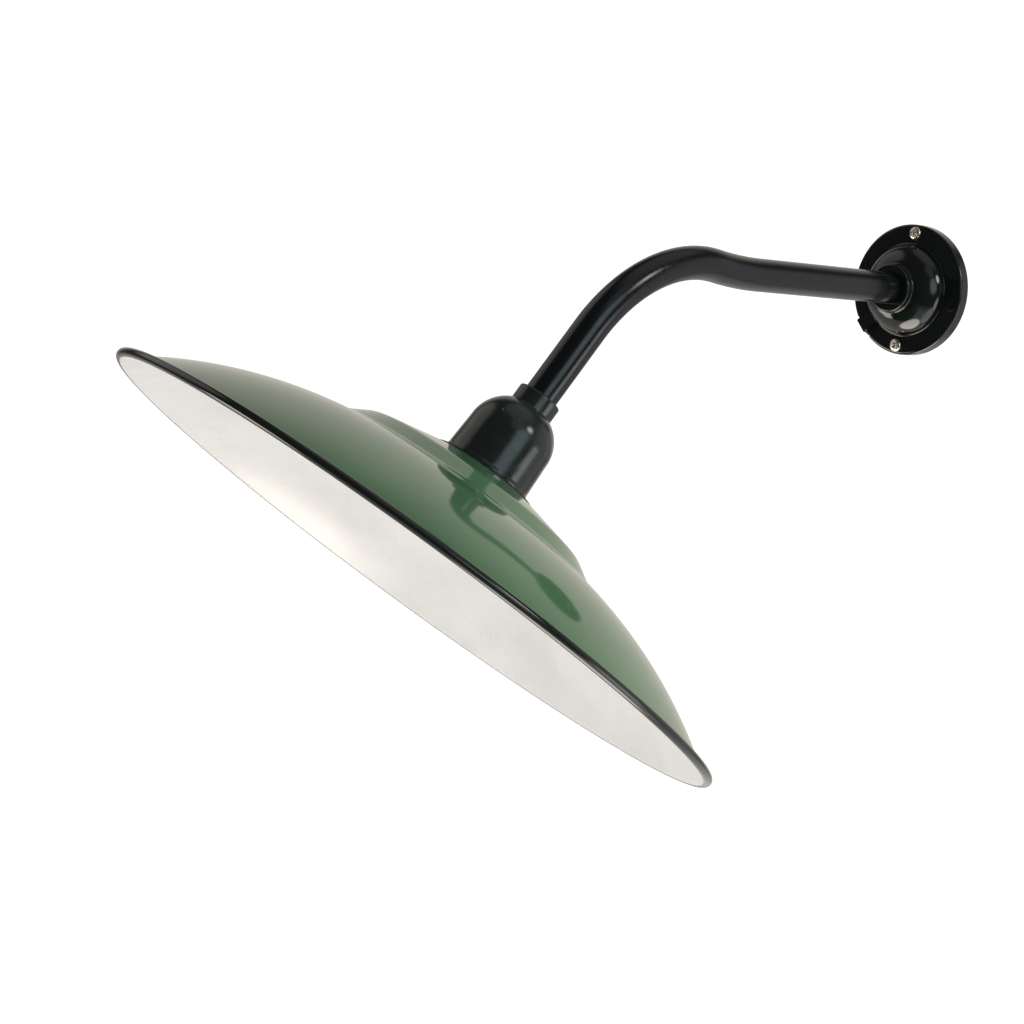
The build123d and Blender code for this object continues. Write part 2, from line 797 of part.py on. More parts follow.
def centre_terminal():
    """Brass terminal over the spring chamber."""
    half = terminal_plate_width / 2
    end = terminal_block_start + terminal_block_length
    plate = bar(-chamber_diameter / 2 - 1.2, end, -half, half, porcelain_height, plate_top)
    return plate + terminal_clamp(1, porcelain_height)


def shell_terminal():
    """Brass terminal with a post down to the shell's floor."""
    post_top = porcelain_height + terminal_plate_thickness
    post = rod(post_radius, shell_floor_height, post_top, x=-post_centre)
    return terminal_clamp(-1, porcelain_height) + post


def terminal_screws():
    """The two screws that hold the leads."""
    top = porcelain_height + terminal_block_height
    length = top - lead_entry - lead_diameter / 2 - 0.05
    head = terminal_screw_head / 2
    screw = pan_head_screw(terminal_screw_diameter / 2, head, terminal_screw_head_height, length)
    x = terminal_block_start + terminal_block_length / 2
    return [Pos(side * x, 0, top) * screw for side in (-1, 1)]


# Lamp

def globe_centre():
    """Height of the middle of the globe."""
    return lamp_tip + globe_diameter / 2


def bulb_glass():
    """Blown globe, open at its neck."""
    radius = globe_diameter / 2
    neck = glass_neck_radius
    centre = globe_centre()
    joint = centre + math.sqrt(radius**2 - neck**2)
    globe = ThreePointArc((0, lamp_tip), (radius, centre), (neck, joint))
    line = Wire([*globe.edges(), *Line((neck, joint), (neck, globe_neck_top)).edges()])
    corner = line.vertices().sort_by_distance((neck, joint, 0))[0]
    line = line.fillet_2d(globe_neck_blend, [corner])
    return turned(make_face(offset(line, amount=globe_glass, side=Side.LEFT, closed=True)))


def bulb_cap():
    """Screw cap, a thin cup drawn in at its top."""
    outer = cap_diameter / 2
    inner = cap_inner_radius
    shoulder = cap_top - 1.6
    outline = make_face(
        Polyline(
            (inner, cap_bottom),
            (outer, cap_bottom),
            (outer, shoulder),
            (cap_shoulder_radius, cap_top),
            (cap_shoulder_radius - cap_wall, cap_top),
            (inner, shoulder - cap_wall),
            close=True,
        )
    )
    return turned(outline)


def bulb_insulator():
    """Black glass between the cap and its contact."""
    outline = make_face(
        Polyline(
            (0, cap_top),
            (cap_shoulder_radius, cap_top),
            (insulator_top_radius, insulator_top),
            (0, insulator_top),
            close=True,
        )
    )
    return turned(outline)


def bulb_tip():
    """Solder contact at the end of the cap."""
    top = (0, lamp_contact_height)
    edge = (lamp_contact_radius, insulator_top)
    dome = TangentArc(top, edge, tangent=(1, 0))
    flat = Line(edge, (0, insulator_top))
    axis = Line((0, insulator_top), top)
    return turned(make_face([dome, flat, axis]))


def bulb_stem():
    """Glass stem that closes the neck and carries the filament."""
    outline = make_face(
        Polyline(
            (0, globe_neck_top),
            (stem_flare_radius, globe_neck_top),
            (stem_flare_radius, globe_neck_top - 1.2),
            (stem_radius, globe_neck_top - 7.0),
            (stem_radius, stem_end),
            (0, stem_end),
            close=True,
        )
    )
    outline = rounded(outline, (stem_radius, globe_neck_top - 7.0, 3.0), (stem_radius, stem_end, 1.0))
    return turned(outline)


def bulb_leads():
    """The two wires that hold the filament's ends."""
    wires = []
    for side in (-1, 1):
        low = Vector(side * filament_half_width, 0, filament_height)
        knee = Vector(side * stem_radius / 2, 0, stem_end - 3.0)
        foot = Vector(side * stem_radius / 2, 0, stem_end)
        route = FilletPolyline([low, knee, foot], radius=[6.0])
        wires.append(tube_along(route, lead_in_diameter / 2))
    return wires


def filament():
    """Coiled filament, kept as the round bar that its coil fills."""
    half = filament_half_width - lead_in_diameter
    return Pos(0, 0, filament_height) * Rot(0, 90, 0) * rod(filament_diameter / 2, -half, half)


# The assembly

flange_parts = {
    "wall_flange": flange_casting(),
    "mounting_plate": mounting_plate(),
    "flange_screws": flange_screws(),
    "pipe_lock_nut": pipe_lock_nut(),
    "pipe_bush_wall": Pos(0, 0, tube_back) * pipe_bush(),
    "terminal_block": terminal_block(),
    "block_tubes": block_tubes(),
    "block_screws": block_screws(),
    "block_fixing_screw": block_fixing_screw(),
}

arm_parts = {
    "arm_pipe": tube_along(arm_path, tube_radius, tube_bore_radius),
    "lead_live": lead(1),
    "lead_neutral": lead(-1),
}

head_parts = {
    "pipe_bush_head": Pos(0, 0, cover_height - tube_in_collar) * pipe_bush(),
    "holder_cover": holder_cover(),
    "collar_grub_screw": collar_grub_screw(),
    "seat_gasket": seat_gasket(),
    "shade": shade(),
    "rim_wire": rim_wire(),
    "clamp_ring": clamp_ring(),
    "clamp_screws": clamp_screws(),
    "lampholder_body": lampholder_body(),
    "screw_shell": screw_shell(),
    "contact_plunger": contact_plunger(),
    "contact_spring": contact_spring(),
    "centre_terminal": centre_terminal(),
    "shell_terminal": shell_terminal(),
    "terminal_screws": terminal_screws(),
    "bulb_cap": bulb_cap(),
    "bulb_insulator": bulb_insulator(),
    "bulb_tip": bulb_tip(),
    "bulb_glass": bulb_glass(),
    "bulb_stem": bulb_stem(),
    "bulb_leads": bulb_leads(),
    "filament": filament(),
}


def write(name, shape, plane):
    """Write one piece, or a group of like pieces, in its place."""
    pieces = shape if isinstance(shape, list) else [shape]
    solids = [plane * solid for piece in pieces for solid in piece.solids()]
    placed = solids[0] if len(solids) == 1 else Compound(children=solids)
    placed.label = name
    export_step(placed, f"parts/{name}.step")


os.makedirs("parts", exist_ok=True)
for parts, plane in ((flange_parts, flange_plane), (arm_parts, Plane.XY), (head_parts, head_plane)):
    for name, shape in parts.items():
        write(name, shape, plane)
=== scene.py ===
import json
import math

import bpy
from bpy.props import FloatProperty, FloatVectorProperty, IntProperty, PointerProperty
from mathutils import Matrix, Vector


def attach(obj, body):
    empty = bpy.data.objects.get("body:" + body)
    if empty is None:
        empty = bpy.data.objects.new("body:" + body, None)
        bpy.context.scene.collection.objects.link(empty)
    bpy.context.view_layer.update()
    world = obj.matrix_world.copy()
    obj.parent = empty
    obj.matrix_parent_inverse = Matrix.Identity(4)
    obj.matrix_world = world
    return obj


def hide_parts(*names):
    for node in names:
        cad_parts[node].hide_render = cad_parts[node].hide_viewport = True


bl_info = {
    "name": "Gooseneck wall sconce",
    "version": (1, 0, 0),
    "blender": (4, 5, 0),
    "location": "3D View > Sidebar > Sconce",
    "description": "Builds the looks of a gooseneck wall sconce round its CAD frame",
    "category": "Add Mesh",
}

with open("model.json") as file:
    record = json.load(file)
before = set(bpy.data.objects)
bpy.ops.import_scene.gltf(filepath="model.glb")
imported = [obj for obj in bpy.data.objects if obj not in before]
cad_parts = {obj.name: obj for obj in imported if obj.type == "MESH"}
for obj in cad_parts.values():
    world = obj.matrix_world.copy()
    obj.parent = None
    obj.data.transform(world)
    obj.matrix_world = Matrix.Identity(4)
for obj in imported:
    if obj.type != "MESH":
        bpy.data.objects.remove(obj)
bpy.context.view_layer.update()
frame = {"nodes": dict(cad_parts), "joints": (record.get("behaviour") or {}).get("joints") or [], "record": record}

# Axes of the lamp head: its origin is on the cover's lower face and its Z goes up the arm
unscrew = next(joint for joint in frame["joints"] if joint["name"] == "bulb_unscrew")
head_origin = Vector(unscrew["pos_m"])
head_z = -Vector(unscrew["axis"]).normalized()
head_x = Vector((1, 0, 0))
head_y = head_z.cross(head_x)
head_turn = Matrix((head_x, head_y, head_z)).transposed()
head_place = Matrix.Translation(head_origin) @ head_turn.to_4x4()

# The arm is made in the frame's own axes: it leaves the wall along -Y and bends in the plane X = 0
arm_place = Matrix.Identity(4)


# Colours and nodes

white = (1.0, 1.0, 1.0)

# A Mix node has several sockets of one name, so those for colours are reached by their places
mix_first, mix_second, mix_result = 6, 7, 2


def srgb(code):
    """Linear colour of an sRGB hex value."""
    parts = [int(code[i:i + 2], 16) / 255 for i in (1, 3, 5)]
    return tuple(c / 12.92 if c <= 0.04045 else ((c + 0.055) / 1.055) ** 2.4 for c in parts)


def faded(colour, share):
    """A linear colour darkened to a share of its brightness."""
    return tuple(part * share for part in colour[:3])


def node(tree, kind, inputs=None, **fields):
    """Adds a node, sets its fields, and sets or links its inputs. Colours come without an alpha."""
    made = tree.nodes.new(kind)
    for field, value in fields.items():
        setattr(made, field, value)
    for name, value in (inputs or {}).items():
        socket = made.inputs[name]
        if isinstance(value, bpy.types.NodeSocket):
            tree.links.new(value, socket)
        elif socket.type == "RGBA":
            socket.default_value = (*value[:3], 1.0)
        else:
            socket.default_value = value
    return made


def new_material(name):
    """An empty material and its node tree."""
    material = bpy.data.materials.new(name)
    material.use_nodes = True
    material.node_tree.nodes.clear()
    return material, material.node_tree


def surfaced(material, inputs):
    """Ends a material with its shader, whose inputs are patterns or plain values."""
    shader = node(material.node_tree, "ShaderNodeBsdfPrincipled", inputs)
    node(material.node_tree, "ShaderNodeOutputMaterial", {"Surface": shader.outputs["BSDF"]})
    return material


# Patterns, scaled from real sizes in millimetres

def speckle(tree, size, low=0.0, high=1.0, start=0.3, end=0.7, **inputs):
    """Noise with features about this many millimetres across, on the object's own coordinates.

    The noise's values from start to end, which by default is nearly all of them, are spread between
    low and high.
    """
    place = node(tree, "ShaderNodeTexCoord").outputs["Object"]
    noise = node(tree, "ShaderNodeTexNoise", {"Vector": place, "Scale": 1000.0 / size, **inputs})
    spread = {"Value": noise.outputs["Fac"], "From Min": start, "From Max": end,
              "To Min": low, "To Max": high}
    return node(tree, "ShaderNodeMapRange", spread).outputs["Result"]


def layered(tree, colour, *layers):
    """Lays colours over a first one, each given with the pattern that says how much of it shows."""
    for pattern, over in layers:
        inputs = {"Factor": pattern, mix_first: colour, mix_second: over}
        colour = node(tree, "ShaderNodeMix", inputs, data_type="RGBA").outputs[mix_result]
    return colour


def bumps(tree, *layers):
    """Stacks bump layers, each a height pattern and its depth in millimetres."""
    normal = None
    for height, depth in layers:
        inputs = {"Height": height, "Distance": depth / 1000.0, "Strength": 1.0}
        if normal is not None:
            inputs["Normal"] = normal
        normal = node(tree, "ShaderNodeBump", inputs).outputs["Normal"]
    return normal


# Finishes

def vitreous_enamel(name, tint, roughness):
    """Vitreous enamel: glass fused to sheet steel, so it is mirror-smooth with a slow waviness.

    The glass pools a little, which gives faint patches, and it has small dark pits.
    """
    material, tree = new_material(name)
    pools = speckle(tree, 45.0, Detail=3.0)
    pits = speckle(tree, 1.8, high=0.35, start=0.672, Detail=2.0)
    waves = speckle(tree, 26.0, Detail=0.0)
    return surfaced(material, {
        "Base Color": layered(tree, tint, (pools, faded(tint, 0.88)), (pits, faded(tint, 0.6))),
        "Roughness": speckle(tree, 9.0, roughness * 0.95, roughness * 1.1),
        "Normal": bumps(tree, (waves, 0.02)),
        "IOR": 1.52,
    })


def gloss_paint_on_casting(name, tint, roughness, lump, chips):
    """Gloss paint on a sand casting: it follows the lumps, pools between them, and is chipped in spots.

    The lumps' depth is in millimetres, and the sand's grain is a small share of it. Metal shows where the
    chips' noise is above the given value.
    """
    sand_share = 0.03
    material, tree = new_material(name)
    lumps = speckle(tree, 9.0, Detail=0.5)
    sand = speckle(tree, 1.3, Detail=0.0)
    chipped = speckle(tree, 2.6, start=chips, end=chips + 0.02, Detail=2.0)
    return surfaced(material, {
        "Base Color": layered(tree, tint, (lumps, faded(tint, 0.8)), (chipped, srgb("#B9BCB8"))),
        "Roughness": speckle(tree, 6.0, roughness * 0.8, roughness * 1.3),
        "Normal": bumps(tree, (lumps, lump), (sand, lump * sand_share)),
        "IOR": 1.5,
    })


def satin_paint_on_tube(name, tint):
    """Stoved satin-gloss paint on drawn steel tube: smooth, with a faint orange peel."""
    material, tree = new_material(name)
    patches = speckle(tree, 30.0, Detail=3.0)
    peel = speckle(tree, 1.4)
    return surfaced(material, {
        "Base Color": layered(tree, tint, (patches, faded(tint, 0.85))),
        "Roughness": speckle(tree, 5.0, 0.16, 0.24),
        "Normal": bumps(tree, (peel, 0.004)),
        "IOR": 1.5,
    })


def worked_metal(name, tint, worn, roughness, grain, depth):
    """Bare or plated metal with tarnish in patches and the fine grain of its drawing or turning.

    The grain's size and depth are in millimetres.
    """
    material, tree = new_material(name)
    tarnish = speckle(tree, 5.0, Detail=4.0)
    lines = speckle(tree, grain, Detail=2.0)
    return surfaced(material, {
        "Base Color": layered(tree, tint, (tarnish, worn)),
        "Roughness": speckle(tree, 2.0, roughness * 0.75, roughness * 1.35),
        "Normal": bumps(tree, (lines, depth)),
        "Metallic": 1.0,
    })


def moulded_or_glazed(name, tint, roughness, ior, grain, depth):
    """Moulded, glazed or coated solid with faint cloudiness and a fine surface grain.

    The grain's size and depth are in millimetres.
    """
    material, tree = new_material(name)
    cloud = speckle(tree, 7.0, Detail=3.0)
    skin = speckle(tree, grain, Detail=2.0)
    return surfaced(material, {
        "Base Color": layered(tree, tint, (cloud, faded(tint, 0.92))),
        "Roughness": speckle(tree, 3.0, roughness * 0.85, roughness * 1.15),
        "Normal": bumps(tree, (skin, depth)),
        "IOR": ior,
    })


def blown_glass(name):
    """Blown soda-lime glass, clear, thin and slightly uneven."""
    material, tree = new_material(name)
    waves = speckle(tree, 12.0)
    return surfaced(material, {
        "Base Color": srgb("#FBFDFC"),
        "Roughness": speckle(tree, 5.0, 0.0, 0.03),
        "Normal": bumps(tree, (waves, 0.01)),
        "Transmission Weight": 1.0,
        "IOR": 1.5,
    })


# Sizes and colours that a user would change

def millimetres(label, words, value):
    """A length property, from a value in millimetres."""
    return FloatProperty(name=label, description=words, default=value / 1000, unit="LENGTH", precision=5)


def degrees(label, words, value):
    """An angle property, from a value in degrees."""
    return FloatProperty(name=label, description=words, default=math.radians(value), unit="ROTATION")


def hex_colour(label, words, code):
    """A colour property, from an sRGB hex value."""
    return FloatVectorProperty(name=label, description=words, default=srgb(code), size=3,
                               subtype="COLOR", min=0.0, max=1.0)


class SconceFinishes(bpy.types.PropertyGroup):
    """Colours of the painted, enamelled and plated surfaces."""
    outside: hex_colour("Shade outside", "Enamel on the outside of the shade", "#45694A")
    inside: hex_colour("Shade inside", "Enamel on the inside of the shade", "#F0EDE8")
    rim: hex_colour("Rim", "Enamel on the rolled rim", "#1A1F1A")
    flange: hex_colour("Flange", "Paint on the wall flange", "#161919")
    cover: hex_colour("Cover", "Paint on the lampholder cover", "#202725")
    tube: hex_colour("Tube", "Paint on the arm", "#0C0F11")
    nickel: hex_colour("Nickel", "Plating of the screws and the lamp's cap", "#EFEADE")
    brass: hex_colour("Brass", "Screw shell and terminals", "#D9BE7C")


class SconceShade(bpy.types.PropertyGroup):
    """Sizes of the spun shade."""
    diameter: millimetres("Diameter", "Across the outside of the rim", 386.6)
    depth: millimetres("Depth", "Flat top to the middle of the rim bead", 64.3)
    sheet: millimetres("Sheet", "Thickness of the steel sheet with its enamel", 0.8)
    bead: millimetres("Rim bead", "Thickness of the rolled rim", 5.0)
    hole: millimetres("Middle hole", "Radius of the hole for the lampholder", 20.1)
    top: millimetres("Top", "Height of the flat top in the head's axes", -1.7)
    flat: millimetres("Flat top", "Radius where the flat top ends", 32.5)
    crown: millimetres("Crown", "Radius where the crown turns down to the step", 69.8)
    crown_slope: degrees("Crown slope", "Fall of the crown from flat", 14.0)
    step: millimetres("Step foot", "Radius where the step meets the skirt", 84.0)
    skirt: millimetres("Skirt curve", "Radius of the skirt's curve", 246.0)
    skirt_slope: degrees("Skirt slope", "Fall of the skirt at the rim", 37.7)
    wrap: degrees("Rim wrap", "How far the rim is rolled round its wire", 262.0)
    segments: IntProperty(name="Segments", description="Steps round the shade", default=288, min=64)


class SconceArm(bpy.types.PropertyGroup):
    """Sizes of the bent tube."""
    diameter: millimetres("Tube", "Outside diameter of the tube", 19.1)
    wall: millimetres("Wall", "Thickness of the tube's wall", 1.6)
    back: millimetres("Back end", "Distance of the tube's back end from the wall", 10.5)
    run: millimetres("Run", "Wall to the start of the reverse bend", 150.2)
    rise_radius: millimetres("Reverse bend", "Radius of the small reverse bend", 290.0)
    rise: degrees("Rise", "Angle of the reverse bend", 8.0)
    bend_radius: millimetres("Main bend", "Radius of the main bend", 87.0)
    drop: degrees("Drop", "Angle of the main bend", 67.5)
    tail: millimetres("Tail", "End of the main bend to the end of the tube", 57.7)


class SconceLamp(bpy.types.PropertyGroup):
    """Sizes of the lamp's cap, of the shell that it screws into, and of the filament."""
    cap: millimetres("Cap", "Outside diameter of the screw cap", 25.5)
    cap_sheet: millimetres("Cap sheet", "Thickness of the cap", 0.35)
    cap_foot: millimetres("Cap foot", "Height of the cap's open end", -5.0)
    cap_top: millimetres("Cap top", "Height of the cap's closed end", 14.8)
    shell: millimetres("Shell", "Outside diameter of the shell", 27.1)
    shell_sheet: millimetres("Shell sheet", "Thickness of the shell", 0.4)
    shell_foot: millimetres("Shell foot", "Height of the shell's open end", -5.0)
    shell_top: millimetres("Shell top", "Height of the shell's floor", 17.8)
    shell_floor: millimetres("Shell floor", "Radius of the hole in the shell's floor", 9.5)
    pitch: millimetres("Thread pitch", "Rise of the rolled thread in one turn", 3.629)
    thread_depth: millimetres("Thread depth", "Crest to root of the rolled thread", 0.86)
    filament_height: millimetres("Filament", "Height of the filament", -28.0)
    filament_reach: millimetres("Filament reach", "Half the length of the filament's coil", 6.3)
    filament_coil: millimetres("Filament coil", "Middle radius of the filament's coil", 0.38)
    filament_wire: millimetres("Filament wire", "Thickness of the filament's wire", 0.12)


class SconceStage(bpy.types.PropertyGroup):
    """Light and surroundings."""
    key: FloatProperty(name="Key light", description="Power of the soft lamp at the right", default=31.0,
                       unit="POWER")
    low: FloatProperty(name="Low light", description="Power of the soft lamp below", default=3.9,
                       unit="POWER")
    fill: FloatProperty(name="Surroundings", description="Level of the light from all round", default=0.42)
    floor_drop: millimetres("Floor", "Distance of the floor below the wall fixing", 1900.0)


# Making pieces. Bare lengths are in metres.

# Doubled points nearer than this are merged
seam_gap = 0.000004
fine_wire_seam_gap = 0.000001


def select_only(piece):
    """Selects one piece and makes it the active one."""
    bpy.ops.object.select_all(action="DESELECT")
    piece.select_set(True)
    bpy.context.view_layer.objects.active = piece


def name_added(name):
    """Names the piece that was just added, and its mesh."""
    piece = bpy.context.object
    piece.name = name
    piece.data.name = name
    return piece


def start_line(name):
    """A new piece of one vertex at the origin, in edit mode with the vertex selected."""
    bpy.ops.object.select_all(action="DESELECT")
    bpy.ops.mesh.primitive_plane_add(size=0.01)
    piece = name_added(name)
    bpy.ops.object.mode_set(mode="EDIT")
    bpy.ops.mesh.select_all(action="SELECT")
    bpy.ops.mesh.merge(type="CENTER")
    return piece


def start_ring(name, sides, radius, place, fill_type):
    """A new piece that is a ring round a point, facing along Y."""
    bpy.ops.object.select_all(action="DESELECT")
    bpy.ops.mesh.primitive_circle_add(vertices=sides, radius=radius, fill_type=fill_type, location=place,
                                      rotation=(math.pi / 2, 0, 0))
    piece = name_added(name)
    bpy.ops.object.transform_apply()
    return piece


def draw_line(points):
    """Moves the vertex to the first point, given as radius and height, and extrudes it on."""
    spots = [Vector((point[0], 0, point[1])) for point in points]
    bpy.ops.transform.translate(value=spots[0])
    for here, there in zip(spots, spots[1:]):
        bpy.ops.mesh.extrude_region_move(TRANSFORM_OT_translate={"value": there - here})


def close_seams(gap):
    """Merges the open piece's doubled points, turns its faces outwards and leaves edit mode."""
    bpy.ops.mesh.select_all(action="SELECT")
    bpy.ops.mesh.remove_doubles(threshold=gap)
    bpy.ops.mesh.normals_make_consistent(inside=False)
    bpy.ops.object.mode_set(mode="OBJECT")


def turn_outline(segments):
    """Spins the open piece's outline about Z and closes its seam."""
    bpy.ops.mesh.select_all(action="SELECT")
    bpy.ops.mesh.spin(steps=segments, angle=math.tau, center=(0, 0, 0), axis=(0, 0, 1))
    close_seams(seam_gap)


def face_up(piece):
    """Turns an open sheet's faces over if its highest one looks down."""
    highest = max(piece.data.polygons, key=lambda face: face.center.z)
    if highest.normal.z < 0:
        bpy.ops.object.mode_set(mode="EDIT")
        bpy.ops.mesh.select_all(action="SELECT")
        bpy.ops.mesh.flip_normals()
        bpy.ops.object.mode_set(mode="OBJECT")


def apply_modifier(piece, kind, **fields):
    """Adds a modifier with its fields set, and applies it."""
    select_only(piece)
    modifier = piece.modifiers.new(kind.title(), kind)
    for field, value in fields.items():
        setattr(modifier, field, value)
    bpy.ops.object.modifier_apply(modifier=modifier.name)


def body_of(name):
    """The moving body that carries a CAD node."""
    bodies = frame["record"]["behaviour"]["bodies"]
    return next(body for body, names in bodies.items() if name in names)


def finish(piece, place, stands_for, materials=(), crease=35.0):
    """Puts a piece in its place, smooths and dresses it, and lets it stand for a CAD node.

    Edges sharper than the crease angle, in degrees, stay sharp.
    """
    select_only(piece)
    piece.matrix_world = place
    bpy.ops.object.transform_apply()
    bpy.ops.object.shade_smooth_by_angle(angle=math.radians(crease))
    for material in materials:
        piece.data.materials.append(material)
    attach(piece, body_of(stands_for))
    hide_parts(stands_for)


def arc(centre, radius, start, end, steps):
    """Points of an arc about a centre, between two angles in radians from outward."""
    turns = [start + (end - start) * i / steps for i in range(steps + 1)]
    return [(centre[0] + radius * math.cos(a), centre[1] + radius * math.sin(a)) for a in turns]


def rounded(points, steps=6):
    """Open line with its corners rounded; a corner's third number is its radius."""
    line = []
    for i, point in enumerate(points):
        if len(point) == 2:
            line.append(point)
            continue
        radius = point[2]
        corner = Vector(point[:2])
        back = (Vector(points[i - 1][:2]) - corner).normalized()
        ahead = (Vector(points[i + 1][:2]) - corner).normalized()
        half = back.angle(ahead) / 2
        reach = radius / math.tan(half)
        middle = corner + (back + ahead).normalized() * (radius / math.sin(half))
        first = corner + back * reach - middle
        last = corner + ahead * reach - middle
        sweep = first.angle_signed(last)
        for k in range(steps + 1):
            spoke = Matrix.Rotation(-sweep * k / steps, 2) @ first
            line.append(tuple(middle + spoke))
    return line


# The arm

arm_sides = 96
arm_stretches = 4
rise_steps = 16
bend_steps = 64


class BendArm(bpy.types.Operator):
    """Bends the arm: a ring run out from the wall, up through the reverse bend and over the main bend"""
    bl_idname = "sconce.bend_arm"
    bl_label = "Bend the arm"

    def execute(self, context):
        size = context.scene.sconce_arm
        pipe = start_ring("bent_tube", arm_sides, size.diameter / 2, (0, -size.back, 0), "NOTHING")
        bpy.ops.object.mode_set(mode="EDIT")
        bpy.ops.mesh.select_all(action="SELECT")
        stretch = (size.run - size.back) / arm_stretches
        for _ in range(arm_stretches):
            bpy.ops.mesh.extrude_region_move(TRANSFORM_OT_translate={"value": (0, -stretch, 0)})
        rise_centre = Vector((0, -size.run, size.rise_radius))
        bpy.ops.mesh.spin(steps=rise_steps, angle=size.rise, center=rise_centre, axis=(1, 0, 0))
        outward = Vector((0, -math.sin(size.rise), -math.cos(size.rise)))
        rise_end = rise_centre + size.rise_radius * outward
        bend_centre = rise_end + size.bend_radius * outward
        bpy.ops.mesh.spin(steps=bend_steps, angle=-size.drop, center=bend_centre, axis=(1, 0, 0))
        bpy.ops.mesh.extrude_region_move(TRANSFORM_OT_translate={"value": -head_z * size.tail})
        close_seams(seam_gap)
        apply_modifier(pipe, "SOLIDIFY", thickness=size.wall, offset=-1.0)
        paint = satin_paint_on_tube("satin_black_paint_on_steel_tube", context.scene.sconce_finishes.tube)
        finish(pipe, arm_place, "arm_pipe", [paint])
        return {"FINISHED"}


# The shade

flat_edge_round = 0.008
crown_edge_round = 0.016
step_foot_round = 0.014
skirt_steps = 44
roll_steps = 40

# The sheet's enamels, for its upper face, its lower face and its edges: name, colour and roughness
shade_enamels = (
    ("green_vitreous_enamel", "outside", 0.08),
    ("white_vitreous_enamel", "inside", 0.24),
    ("black_green_vitreous_enamel_on_rim", "rim", 0.09),
)
rim_slot = 2

# The rim's enamel runs over the bead between these angles, in degrees from outward. A face counts as on
# the bead up to this share of its radius.
rim_enamel_start, rim_enamel_end = -112, 150
bead_share = 1.02


def shade_outline(size):
    """Upper face of the sheet, from the middle hole out to the free edge of the rolled rim."""
    wire = size.bead / 2 - size.sheet
    rim = (size.diameter / 2 - size.bead / 2, size.top - size.depth)
    reach = size.skirt + wire
    middle = (rim[0] - reach * math.sin(size.skirt_slope), rim[1] - reach * math.cos(size.skirt_slope))
    foot_angle = math.acos((size.step - middle[0]) / size.skirt)
    rim_angle = math.pi / 2 - size.skirt_slope
    crown_height = size.top - (size.crown - size.flat) * math.tan(size.crown_slope)
    skirt = arc(middle, size.skirt, foot_angle, rim_angle, skirt_steps)
    corners = [
        (size.hole, size.top),
        (size.flat, size.top, flat_edge_round),
        (size.crown, crown_height, crown_edge_round),
        (*skirt[0], step_foot_round),
        skirt[1],
    ]
    roll = arc(rim, wire, rim_angle - math.pi, rim_angle - math.pi + size.wrap, roll_steps)
    return rounded(corners)[:-1] + skirt[1:] + roll[1:], rim


def enamel_rim(shade, bead, middle):
    """Gives the rim's enamel to the bead's outer face, which is the sheet's lower face rolled outwards."""
    for face in shade.data.polygons:
        across = math.hypot(face.center.x, face.center.y) - middle[0]
        height = face.center.z - middle[1]
        turn = math.degrees(math.atan2(height, across))
        on_bead = math.hypot(across, height) < bead * bead_share
        if on_bead and face.material_index and rim_enamel_start < turn < rim_enamel_end:
            face.material_index = rim_slot


class SpinShade(bpy.types.Operator):
    """Spins the shade from its outline, gives it its wall, and enamels the outside, inside and rim"""
    bl_idname = "sconce.spin_shade"
    bl_label = "Spin the shade"

    def execute(self, context):
        size = context.scene.sconce_shade
        colours = context.scene.sconce_finishes
        outline, rim_middle = shade_outline(size)
        shade = start_line("spun_shade")
        draw_line(outline)
        turn_outline(size.segments)
        face_up(shade)
        for name, surface, roughness in shade_enamels:
            shade.data.materials.append(vitreous_enamel(name, getattr(colours, surface), roughness))
        apply_modifier(shade, "SOLIDIFY", thickness=size.sheet, offset=-1.0, material_offset=1,
                       material_offset_rim=rim_slot)
        enamel_rim(shade, size.bead / 2, rim_middle)
        finish(shade, head_place, "shade", crease=45.0)
        return {"FINISHED"}


# The screw cap and shell

cup_segments = 96

# Bends between a cup's closed end and its wall, each point as far in from the wall and down from the end
cap_bend = ((0.00175, 0.0), (0.0009, 0.0014), (0.0, 0.0024))
shell_bend = ((0.0008, 0.0), (0.0002, 0.0003), (0.0, 0.0008))
cap_wall_steps = 84
shell_wall_steps = 96

# The cap's thread starts and is full at two heights, then fades and ends so far down from the closed end
cap_thread_start = (0.0012, 0.003)
cap_thread_end = (0.0024, 0.0016)

# Heights where the shell's thread starts, is full, fades and ends
shell_thread = (0.0025, 0.0035, 0.014, 0.0155)


def smooth_step(value, low, high):
    """Zero below one height, one above another, and smooth between."""
    t = min(1.0, max(0.0, (value - low) / (high - low)))
    return t * t * (3 - 2 * t)


def press_thread(piece, depth, pitch, heights):
    """Presses a round right-hand thread into a tube about Z, fading in and out between four heights."""
    start, full, fade, end = heights
    for vertex in piece.data.vertices:
        spot = vertex.co
        radius = math.hypot(spot.x, spot.y)
        share = smooth_step(spot.z, start, full) * (1 - smooth_step(spot.z, fade, end))
        phase = math.tau * spot.z / pitch - math.atan2(spot.y, spot.x)
        pressed = radius - depth * share * (1 - math.cos(phase)) / 2
        spot.x *= pressed / radius
        spot.y *= pressed / radius


def cup_outline(radius, foot, top, bend, steps):
    """Upper face of a cup's sheet, from the bend at its closed end down its wall to its open end."""
    shoulder = [(radius - inset, top - drop) for inset, drop in bend]
    wall_top = shoulder[-1][1]
    wall = [(radius, wall_top + (foot - wall_top) * i / steps) for i in range(1, steps + 1)]
    return shoulder + wall


def roll_cup(name, outline, heights, size, sheet):
    """Spins a thin cup from its outline, presses its thread and gives it its sheet's thickness."""
    piece = start_line(name)
    draw_line(outline)
    turn_outline(cup_segments)
    face_up(piece)
    press_thread(piece, size.thread_depth, size.pitch, heights)
    apply_modifier(piece, "SOLIDIFY", thickness=sheet, offset=-1.0)
    return piece


